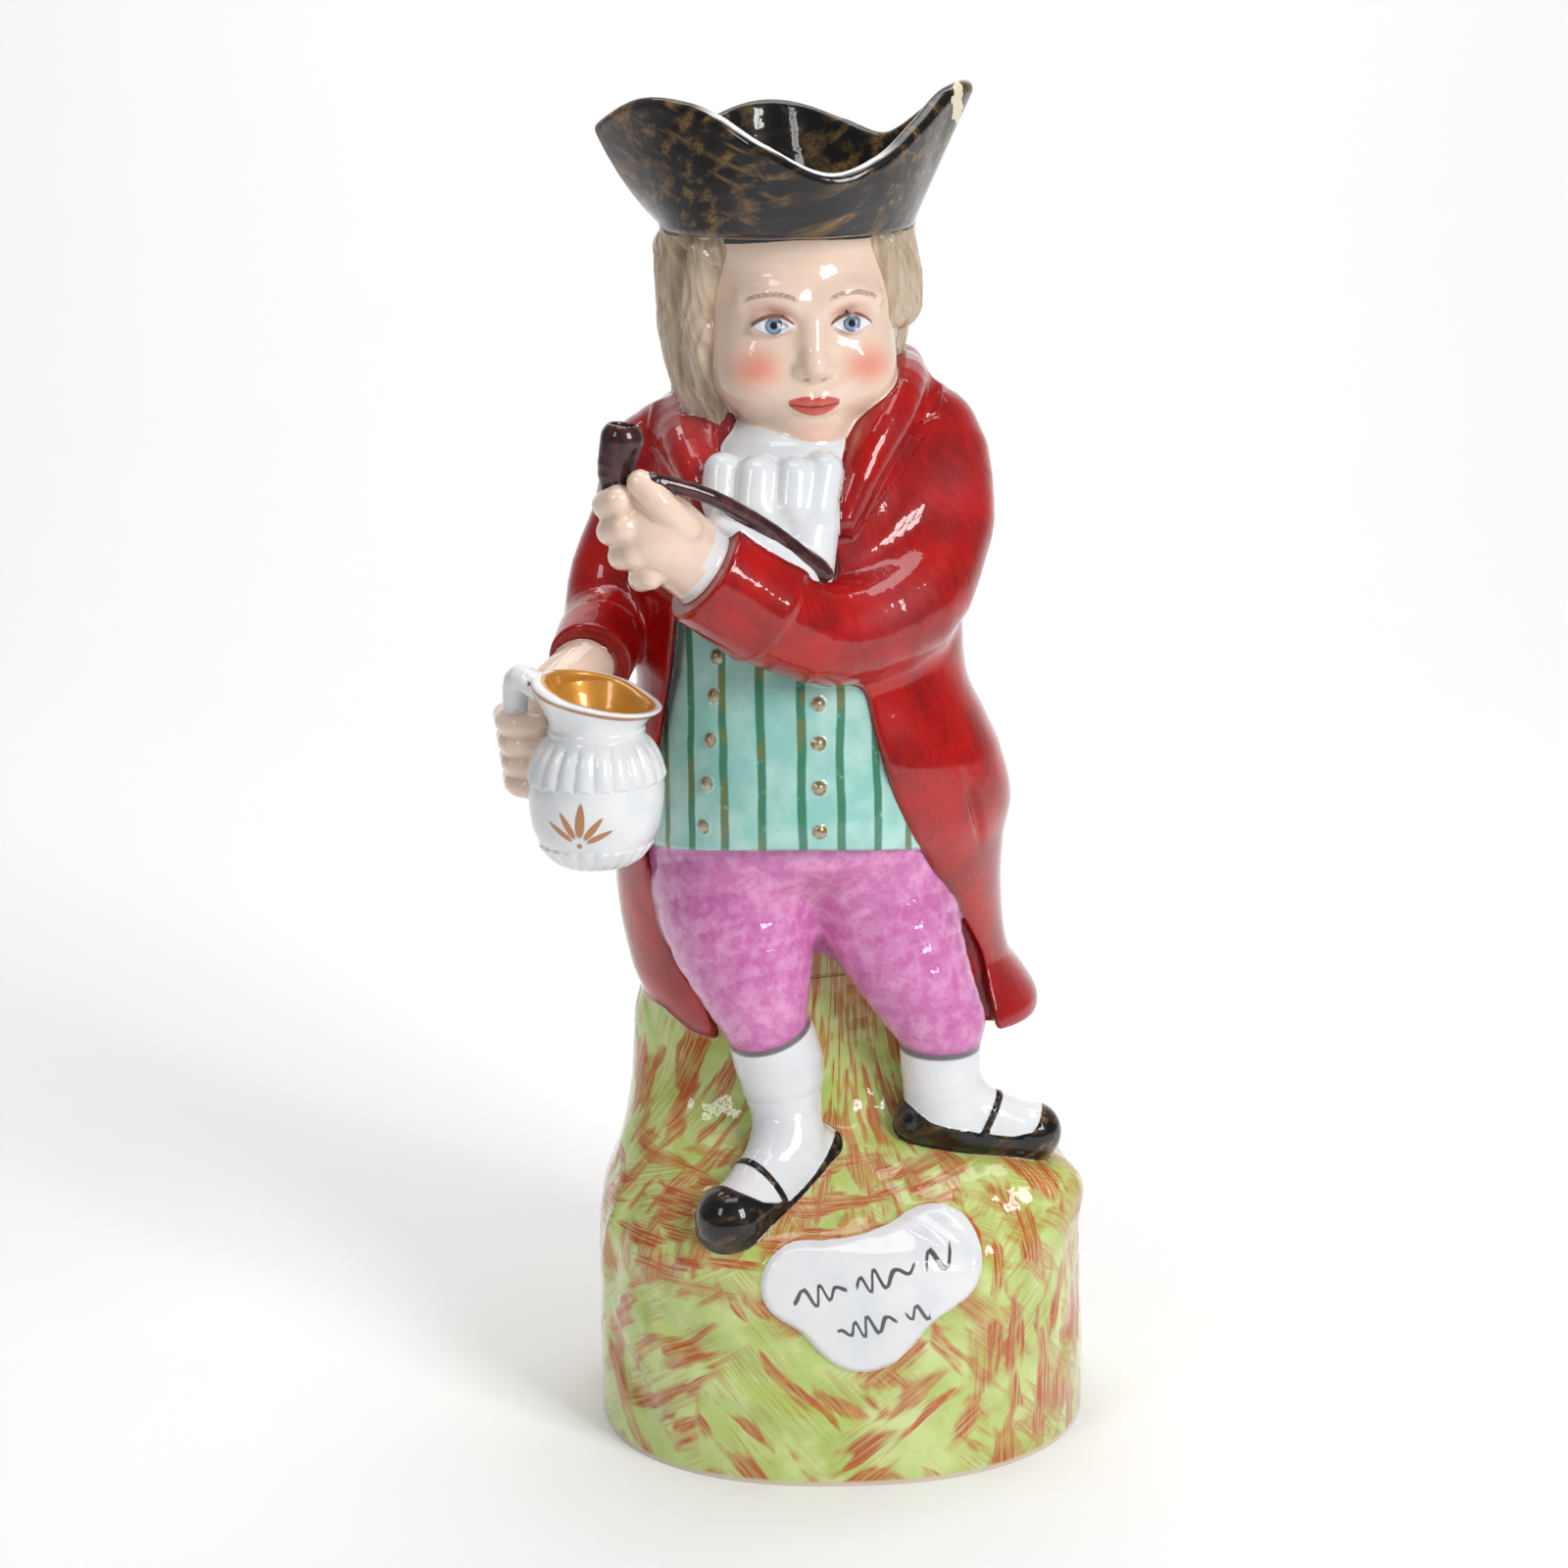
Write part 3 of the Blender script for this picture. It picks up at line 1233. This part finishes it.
def paint_rock(n):
    """Lime glaze with rust brushed on: slanting low down, level on top and upright on the trunk."""
    trunk = n.z.step(60, 70)
    upright, hairs_up = brushed(n, 86, 5.6, 0.5)
    rising, hairs_rise = brushed(n, 36, 5.6, 0.5, 7.0)
    falling, hairs_fall = brushed(n, -48, 5.2, 0.52, 13.0)
    level_marks, _ = brushed(n, 6, 5.2, 0.5, 21.0)
    low = n.z.step(46, 38)
    choice = n.noise(24, 1, bend=0.4).step(0.46, 0.54)
    wall = rising * choice + falling * (1 - choice)
    rust = wall * low + level_marks.most(upright * 0.8) * (1 - low)
    rust = rust * (1 - trunk) + upright * trunk
    right = n.x.step(22, 34) * (1 - trunk)
    rust = rust * (1 - right) + upright.most(falling * 0.6) * right
    hairs = (hairs_rise * choice + hairs_fall * (1 - choice)) * (1 - trunk) + hairs_up * trunk
    fine = (1 - hairs) * n.noise(11, 2).step(0.42, 0.6)
    ledge = (n.z - 100.8 - n.x * 0.08).size().step(0.45, 0.1)
    ledge = ledge * (n.x + 3).size().step(8, 6) * n.y.step(2, -2)
    colour = n.over(
        n.blend(n.noise(9, 3).step(0.35, 0.7), LIME, LIME_PALE),
        (fine * 0.5, EARTH),
        (n.field("m_rock").step(1.4, 0.2) * 0.25, LIME_SHADE),
        (rust * 0.92, n.blend(n.noise(5, 3).step(0.5, 0.72), RUST, RUST_THIN)),
        (ledge * 0.5, LEDGE_SHADE),
        (n.z.step(1.5, 0.6), CLAY),
    )
    return Coat(colour, ledge * -0.25)


def paint_foot(n):
    """White stocking with the blackened shoe over it."""
    worn = strokes(n, 2.4, (0, 30, 20), 0.58)
    toe = n.x.step(36, 42)
    black = n.blend(worn * (toe * 0.5 + 0.35), BLACK, LEATHER_WORN)
    hem = n.field("m_breeches").step(-1.0, -0.55) * n.z.step(80, 84)
    leather = n.field("leather").step(-0.12, 0.12)
    return Coat(n.over(white_ware(n), (hem * 0.85, HEM), (leather, black)))


def paint_hat(n):
    """Black with gilding brushed thin, a worn white lip in front and a chip on the raised corner."""
    smear = strokes(n, 3.0, (0, 14, 0), 0.58) * n.noise(20, 1).step(0.34, 0.56)
    second = strokes(n, 2.2, (0, -28, 30), 0.62) * n.noise(13, 1).step(0.5, 0.62)
    bruise = n.noise(9, 1).step(0.66, 0.78)
    front = n.x.step(-27, -20) * n.x.step(15, 9) * n.y.step(-14, -22)
    line = (n.field("lip") - (n.noise(6, 2) * 0.8 + 1.05)).step(-0.08, 0.08) * front
    chip_x = (n.x - CHIP_AT[0]) / 1.2 + (n.noise(2.5, 2) - 0.5) * 1.6
    chip_z = (n.z - CHIP_AT[1]) / 4.4
    chip = (chip_x * chip_x + chip_z * chip_z).step(1.1, 0.9) * n.y.step(2, -2)
    colour = n.blend(smear.most(second) * 0.8, BLACK, BROWN_GOLD)
    return Coat(n.over(colour, (bruise * 0.35, HAT_PLUM), (line, RIM_WHITE), (chip, BODY)))


def paint_hair(n):
    around = (n.y.math("ARCTAN2", n.x + 8)) * 26 + n.z * 0.1
    strand = n.noise(0.9, 3, n.vector(around, 0.0, n.z * 0.1)).step(0.3, 0.7)
    colour = n.over(
        n.blend(strand, HAIR_DEEP, HAIR),
        (n.noise(8, 2).step(0.4, 0.7) * 0.5, HAIR_GREY),
        (n.field("m_hair").step(1.2, 0.1) * 0.4, HAIR_DEEP),
    )
    return Coat(colour, strand * 0.06)


def paint_skin(n):
    turned = math.radians(FACE["turn"])
    px = n.x - FACE["x"]
    py = n.y - FACE["y"]
    pz = n.z - FACE["z"]
    across = px * math.cos(turned) + py * math.sin(turned)
    depth = py * math.cos(turned) - px * math.sin(turned)
    side = across.size()
    face = depth.step(-8, -12) * n.z.step(216, 218)
    blush = spot(side - 11.5, pz + 5.5, 6.5, 5.5).step(1.15, 0.1)
    chin = spot(across, pz + 19, 6, 4).step(1.1, 0.2)

    gaze = side - EYE["out"]
    up = pz - EYE["up"]
    lid = spot(gaze, up - 1.4, 5.4, 3.6).step(1.1, 0.6)
    white = spot(gaze, up + 0.1, 4.0, 1.75).step(1.05, 0.95)
    from_pupil = spot(gaze, up - 0.1, 1.75, 1.75)
    iris = from_pupil.step(1.08, 0.94)
    ring = iris * from_pupil.step(0.7, 0.95)
    pupil = spot(gaze, up - 0.1, 0.75, 0.75).step(1.1, 0.9)
    lash = (up - 2.05 + gaze * gaze * 0.105).size().step(0.5, 0.22) * gaze.size().step(4.7, 4.0)
    low_lash = (up + 1.75 - gaze * gaze * 0.09).size().step(0.35, 0.12) * gaze.size().step(4.2, 3.4)
    arch = pz - 9.5 + (side - 8.2) * (side - 8.2) * 0.05
    brow = arch.size().step(0.75, 0.25) * (side - 8.5).size().step(5.6, 4.2)
    brow = brow * n.noise(0.5, 2, n.vector(n.x * 2.0, 0.0, n.z)).step(0.3, 0.6)

    upper_lip = pz + 11.6 - side.step(0.2, 1.8) * 0.45 + side * side * 0.035
    lower_lip = pz + 15.2 - side * side * 0.075
    mouth = upper_lip.step(0.25, -0.1) * lower_lip.step(-0.15, 0.25) * side.step(5.5, 5.0)
    parting = (pz + 13.35 - side * side * 0.02).size().step(0.32, 0.1) * side.step(5.3, 4.4)
    nostril = spot(side - 1.7, pz + 7.8, 0.9, 0.5).step(1.1, 0.5)

    sleeve = n.field("m_coat").step(-2.3, -2.0) * n.x.step(-18, -20) * n.z.step(182, 184)
    creases = n.field("m_skin").step(0.9, 0.1) * (1 - face)
    colour = n.over(
        n.blend(n.noise(6, 2).step(0.4, 0.8) * 0.4, SKIN, SKIN_WARM),
        (blush * face * 0.72, CHEEK),
        (chin * face * 0.25, CHEEK),
        (lid * face * 0.32, LID_ROSE),
        (white * face, EYE_WHITE),
        (iris * white * face, IRIS),
        (ring * white * face * 0.7, IRIS_RING),
        (pupil * face, PUPIL),
        (lash * face * 0.9, LASH),
        (low_lash * face * 0.45, LASH_LOW),
        (brow * face * 0.75, BROW_BROWN),
        (mouth * face * 0.88, LIP),
        (parting * face * 0.8, LIP_PARTING),
        (nostril * face * 0.6, NOSTRIL),
        (sleeve, WHITE),
        (creases * 0.3, CREASE),
    )
    return Coat(colour)


def paint_pipe(n):
    return Coat(n.blend(n.noise(3, 2).step(0.35, 0.7), PIPE_BROWN, PIPE_WORN))


def paint_buttons(n):
    return Coat(n.blend(n.noise(1.5, 1).step(0.4, 0.6), BUTTON_SILVER, BUTTON_GOLD), gilt=0.5)


def paint_cup(n):
    """White jug, gilt inside and round the lip, with a gilt sprig of leaves on its front."""
    h = n.z - CUP["foot"][2]
    px = n.x - CUP["foot"][0] - h * CUP["lean"][0]
    py = n.y - CUP["foot"][1] - h * CUP["lean"][1]
    inside = n.field("cup_in").step(-0.2, 0.2)
    edge = (n.field("cup_top") - 1.1).size().step(0.55, 0.3) * (1 - inside)
    u = (py.math("ARCTAN2", px) + math.radians(SPRIG_TURN)) * 13.2
    v = h - 7.2
    gold = spot(u, v, 0.6, 0.6)
    for lean, long, half in LEAVES:
        turn = math.radians(lean)
        lu = u * math.cos(turn) - v * math.sin(turn)
        lv = u * math.sin(turn) + v * math.cos(turn)
        taper = 1.25 - (lv - 1.8) / long * 0.5
        gold = gold.least(spot(lu / taper, lv - long / 2 - 1.8, half, long / 2))
    gilt = edge.most(gold.step(1.12, 0.88) * py.step(0, -2))
    colour = n.blend(n.noise(9, 2).step(0.35, 0.7), WHITE, WHITE_SHADE)
    colour = n.over(colour, (inside, GOLD), (gilt * 0.92, GILT))
    return Coat(colour, gilt * 0.03, gilt * 0.55 + inside * 0.25)


def paint_plaque(n):
    """White plate with two rows of waves in place of its writing."""
    slant = math.radians(13)
    px = n.x - 7
    pz = n.z - 42.5
    u = px * math.cos(slant) + pz * math.sin(slant)
    v = pz * math.cos(slant) - px * math.sin(slant)
    ink = None
    for row_v, half, pace, start in WAVE_ROWS:
        turn = u * pace + (u * 0.62 + start).sine() * 0.9
        tall = 1.3 + 0.75 * ((u * 0.47 + start * 3).sine())
        wave = turn.sine() * tall
        steep = turn.cosine() * tall * pace
        thick = (steep * steep + 1).math("SQRT")
        line = ((v - row_v - wave) / thick).size().step(0.46, 0.26)
        gap = (u * 0.42 + start).sine().step(-0.96, -0.86)
        one = line * gap * u.size().step(half, half - 0.4)
        ink = one if ink is None else ink.most(one)
    ink = ink * n.y.step(-20, -24)
    colour = n.blend(n.noise(10, 2).step(0.4, 0.7), WHITE, WHITE_SHADE)
    return Coat(n.blend(ink * 0.9, colour, INK), ink * -0.12)


def paint_inside(n):
    return Coat(n.blend(n.z.step(250, 256), CREAM, BLACK))


PAINTS = {
    "rock": paint_rock,
    "breeches": paint_breeches,
    "white": paint_foot,
    "linen": paint_linen,
    "plaque": paint_plaque,
    "waistcoat": paint_waistcoat,
    "buttons": paint_buttons,
    "coat": paint_coat,
    "skin": paint_skin,
    "hair": paint_hair,
    "pipe": paint_pipe,
    "cup": paint_cup,
    "hat": paint_hat,
    "inside": paint_inside,
}


def laid_over(here, low, high):
    """The number high where here is 1, and low where it is 0."""
    return low if low is high or low == high else here * (high - low) + low


def glazed(name, groups):
    """One glazed material with the paints of several neighbours, each inside its own field."""
    material = bpy.data.materials.new(name)
    material.use_nodes = True
    tree = material.node_tree
    n = Paint(tree)
    shader = tree.nodes["Principled BSDF"]
    wobble = (n.noise(2.6, 2) - 0.5) * 0.3
    coat_under = PAINTS[groups[0]](n)
    colour, relief, gilt = coat_under.colour, coat_under.relief, coat_under.gilt
    for group in groups[1:]:
        paint = PAINTS[group](n)
        here = (n.field("m_" + group) + wobble).step(-0.3, -0.16)
        colour = n.blend(here, colour, paint.colour)
        relief = laid_over(here, relief, paint.relief)
        gilt = laid_over(here, gilt, paint.gilt)
    firing = n.noise(38, 2).step(0.5, 0.85)
    colour = n.blend(firing * 0.07, colour, FIRED)
    feed(tree, shader.inputs["Base Color"], colour)
    feed(tree, shader.inputs["Metallic"], gilt)
    shader.inputs["Roughness"].default_value = 0.35
    shader.inputs["Specular IOR Level"].default_value = 0.12
    shader.inputs["Coat Weight"].default_value = 1.0
    shader.inputs["Coat Roughness"].default_value = 0.035
    shader.inputs["Coat IOR"].default_value = 1.5
    bump = tree.nodes.new("ShaderNodeBump")
    bump.inputs["Strength"].default_value = 1.0
    bump.inputs["Distance"].default_value = MM
    ripple = n.noise(7, 2) * 0.16 + n.noise(1.6, 2) * 0.03
    feed(tree, bump.inputs["Height"], ripple + relief)
    tree.links.new(bump.outputs["Normal"], shader.inputs["Normal"])
    tree.links.new(bump.outputs["Normal"], shader.inputs["Coat Normal"])
    return material


# Pieces of the surface: name, box, cell size and the box that another piece takes out of it. They overlap
# by LAP. What is within INSIDE_REACH of the hollow has its paint.
HAND_BOX = ([-76, -66, 133], [-21, -23, 226])
PIECES = [
    ("head_and_hat", [-56, -44, 226], [40, 62, 296], 0.62, None),
    ("hands_pipe_and_small_jug", *HAND_BOX, 0.52, None),
    ("coat_and_waistcoat", [-76, -66, 133], [52, 62, 226], 0.85, HAND_BOX),
    ("legs_and_tails", [-60, -60, 57], [60, 56, 133], 0.8, None),
    ("rock_base", [-64, -64, -3], [64, 64, 57], 1.0, None),
]
LAP = 0.9
INSIDE_REACH = 2.2


def fields_of(points):
    """Each colour's margin over its neighbours, and the few places that the paints measure from."""
    chunks = []
    for i in range(0, len(points), CHUNK):
        chunks.append({})
        figure(points[i:i + CHUNK], chunks[-1])
    groups = {name: np.concatenate([chunk[name] for chunk in chunks]) for name in chunks[0]}
    groups["white"] = np.minimum(groups["white"], groups.pop("shoes"))
    groups.pop("inside")
    table = np.stack(list(groups.values()))
    margins = {}
    for i, name in enumerate(groups):
        margins["m_" + name] = np.delete(table, i, 0).min(0) - table[i]
    margins["m_inside"] = INSIDE_REACH - np.abs(in_chunks(hollow, points))
    margins["leather"] = in_chunks(leather, points)
    _, brim = brim_place(points)
    margins["lip"] = points[:, 2] - brim[:, -1, 1]
    h, _, towards, shell = cup_place(points)
    inward = shell + CUP_WALL * 0.55
    margins["cup_in"] = -inward * np.where((h > 15) & (h < 42), 1, 0) - (h < 15)
    margins["cup_top"] = np.where(shell > 1.2, 9, CUP_TOP - CUP_TILT * towards - h)
    return margins


def make_piece(name, low, high, cell, without):
    cell = cell * 1
    lap = LAP * 1
    points, quads = surface_of(np.array(low) - 3 * cell, np.array(high) + 3 * cell, cell)
    points = settled(points, 2)
    points[:, 2] = np.maximum(points[:, 2], 0)
    middle = points[quads].mean(1)
    keep = ((middle > np.array(low) - lap) & (middle < np.array(high) + lap)).all(1)
    if without:
        keep &= ~((middle > np.array(without[0]) + lap) & (middle < np.array(without[1]) - lap)).all(1)
    quads = quads[keep]
    used, quads = np.unique(quads, return_inverse=True)
    quads = quads.reshape(-1, 4)
    points = points[used]
    normals = slope_of(points, 0.12)
    steep = np.linalg.norm(normals, axis=1, keepdims=True)
    normals = np.where(steep > 0.3, normals / (steep + 1e-9), 0)
    mesh = bpy.data.meshes.new(name)
    mesh.from_pydata((points * MM).tolist(), [], quads.tolist())
    mesh.validate()
    mesh.update()
    mesh.polygons.foreach_set("use_smooth", np.ones(len(mesh.polygons), bool))
    margins = fields_of(points)
    worth = [key for key in margins if not key.startswith("m_") or margins[key].max() > -0.2]
    for key in worth:
        kept = mesh.attributes.new(key, "FLOAT", "POINT")
        kept.data.foreach_set("value", margins[key].astype(np.float32))
    mesh.normals_split_custom_set_from_vertices(normals.tolist())
    piece = bpy.data.objects.new(name, mesh)
    bpy.context.scene.collection.objects.link(piece)
    groups = [group for group in PAINTS if "m_" + group in worth]
    mesh.materials.append(glazed("glaze_" + name, groups))
    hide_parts("toby_jug", *(["small_jug"] if "small_jug" in name else []))
    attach(piece, "root")
    return piece


for spec in PIECES:
    make_piece(*spec)


# Camera, as far off and as high as the photograph's, and tilted the same
CAMERA_AT = Vector((-0.0107, -0.700, 0.320))
CAMERA_PITCH = math.radians(14.31)
CAMERA_ROLL = math.radians(1.0)
FOCAL_SHARE = 3405 / 1600


def add_camera():
    ahead = Vector((0, math.cos(CAMERA_PITCH), -math.sin(CAMERA_PITCH)))
    up = Vector((0, math.sin(CAMERA_PITCH), math.cos(CAMERA_PITCH)))
    side = Vector((1, 0, 0))
    right = math.cos(CAMERA_ROLL) * side - math.sin(CAMERA_ROLL) * up
    top = math.cos(CAMERA_ROLL) * up + math.sin(CAMERA_ROLL) * side
    data = bpy.data.cameras.new("camera")
    data.sensor_width = 36
    data.lens = 36 * FOCAL_SHARE
    data.clip_end = 20
    camera = bpy.data.objects.new("camera", data)
    turn = Matrix((right, top, -ahead)).transposed().to_4x4()
    turn.translation = CAMERA_AT
    camera.matrix_world = turn
    bpy.context.scene.collection.objects.link(camera)
    bpy.context.scene.camera = camera


def add_light(name, at, aim, size, power, colour=(1, 1, 1)):
    data = bpy.data.lights.new(name, "AREA")
    data.shape = "RECTANGLE"
    data.size, data.size_y = size
    data.energy = power
    data.color = colour
    light = bpy.data.objects.new(name, data)
    light.location = at
    light.rotation_euler = (Vector(aim) - Vector(at)).to_track_quat("-Z", "Y").to_euler()
    bpy.context.scene.collection.objects.link(light)


def add_sweep():
    """A pale floor that curves up behind into a backdrop."""
    rows = [(-7, 0), (0.7, 0)]
    turns = np.radians(np.arange(7.5, 91, 7.5))
    rows += [(0.7 + 0.6 * math.sin(a), 0.6 - 0.6 * math.cos(a)) for a in turns]
    rows += [(1.3, 2.6)]
    verts = [(x, y, z) for y, z in rows for x in (-4, 4)]
    faces = [(2 * i, 2 * i + 1, 2 * i + 3, 2 * i + 2) for i in range(len(rows) - 1)]
    mesh = bpy.data.meshes.new("sweep")
    mesh.from_pydata(verts, [], faces)
    mesh.polygons.foreach_set("use_smooth", [True] * len(faces))
    sweep = bpy.data.objects.new("sweep", mesh)
    bpy.context.scene.collection.objects.link(sweep)
    material = bpy.data.materials.new("paper")
    material.use_nodes = True
    tree = material.node_tree
    n = Paint(tree)
    shader = tree.nodes["Principled BSDF"]
    feed(tree, shader.inputs["Base Color"], n.blend(n.noise(60, 2) * 0.3, (250, 250, 250), (246, 246, 247)))
    shader.inputs["Roughness"].default_value = 0.8
    shader.inputs["Specular IOR Level"].default_value = 0.2
    mesh.materials.append(material)


def add_world():
    world = bpy.data.worlds.new("studio")
    world.use_nodes = True
    world.node_tree.nodes["Background"].inputs["Color"].default_value = (1, 1, 1, 1)
    world.node_tree.nodes["Background"].inputs["Strength"].default_value = 0.16
    bpy.context.scene.world = world
    bpy.context.scene.view_settings.view_transform = "Standard"


def add_window(name, at, aim, pane, power):
    """A window of two by three panes, so that the glaze shows its bars."""
    at = Vector(at)
    ahead = (Vector(aim) - at).normalized()
    side = ahead.cross(Vector((0, 0, 1))).normalized()
    up = side.cross(ahead)
    for column in (-0.5, 0.5):
        for row in (-1, 0, 1):
            middle = at + side * column * pane[0] * 1.14 + up * row * pane[1] * 1.12
            add_light(f"{name}_{column}_{row}", middle, middle + ahead, pane, power / 6)


add_camera()
add_world()
add_sweep()
add_window("window_right", (0.62, -0.72, 0.66), (0, 0, 0.17), (0.15, 0.16), 7)
add_window("window_left", (-0.62, -0.70, 0.80), (-0.01, 0, 0.17), (0.1, 0.12), 1.6)
add_light("top", (0.0, 0.0, 1.25), (0, 0, 0.1), (0.7, 0.7), 5.5)
add_light("behind", (0.0, 0.55, 1.3), (0, 1.3, 0.5), (1.4, 0.4), 9)

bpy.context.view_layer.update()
